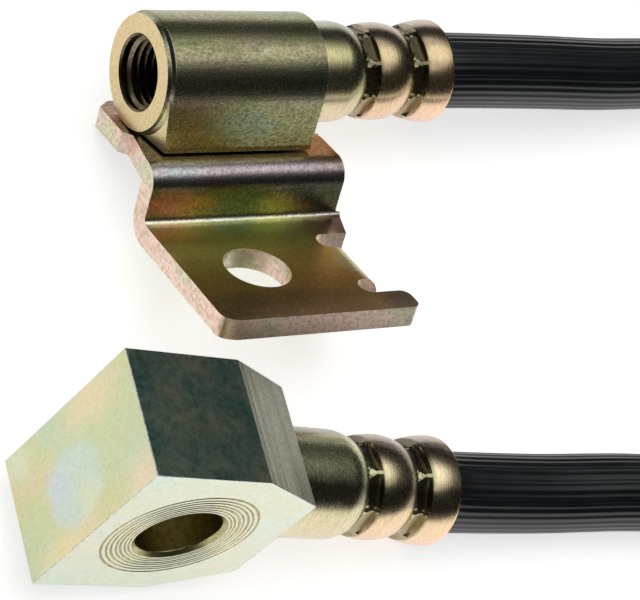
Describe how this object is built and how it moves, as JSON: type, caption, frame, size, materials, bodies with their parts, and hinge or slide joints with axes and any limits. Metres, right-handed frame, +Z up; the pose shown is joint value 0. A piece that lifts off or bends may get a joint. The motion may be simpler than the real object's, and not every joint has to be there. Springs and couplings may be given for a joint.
{
  "type": "brake line",
  "caption": "Hydraulic brake line: rubber hose with crimped ferrules, a bracketed threaded inlet fitting at one end and a bevelled banjo block at the other.",
  "frame": {"origin": "on the surface that the line lies on, at the middle of the box of the two metal ends, without the hose", "axes": "+Z up from the surface; +X along the level direction of the inlet fitting's hose axis, from its threaded port towards the hose loop; +Y from the banjo block's side towards the inlet fitting's side"},
  "size_m": [0.2028, 0.1039, 0.0305],
  "materials": {
    "plated_body": "turned and milled steel, zinc plated with yellow iridescent chromate",
    "plated_sheet": "stamped steel sheet, zinc plated with dark yellow iridescent chromate",
    "plated_ferrule": "crimped steel, zinc plated with gold and pink chromate",
    "plated_block": "milled steel, zinc plated with pale yellow-green chromate",
    "stem_steel": "plain steel tube with rolled barbs",
    "hose_rubber": "black rubber with fine lengthwise ribs"
  },
  "bodies": {
    "root": {"inlet_body": "plated_body", "inlet_bracket": "plated_sheet", "inlet_ferrule": "plated_ferrule", "inlet_stem": "stem_steel", "banjo_block": "plated_block", "block_ferrule": "plated_ferrule", "block_stem": "stem_steel", "brake_hose": "hose_rubber"}
  },
  "joints": []
}
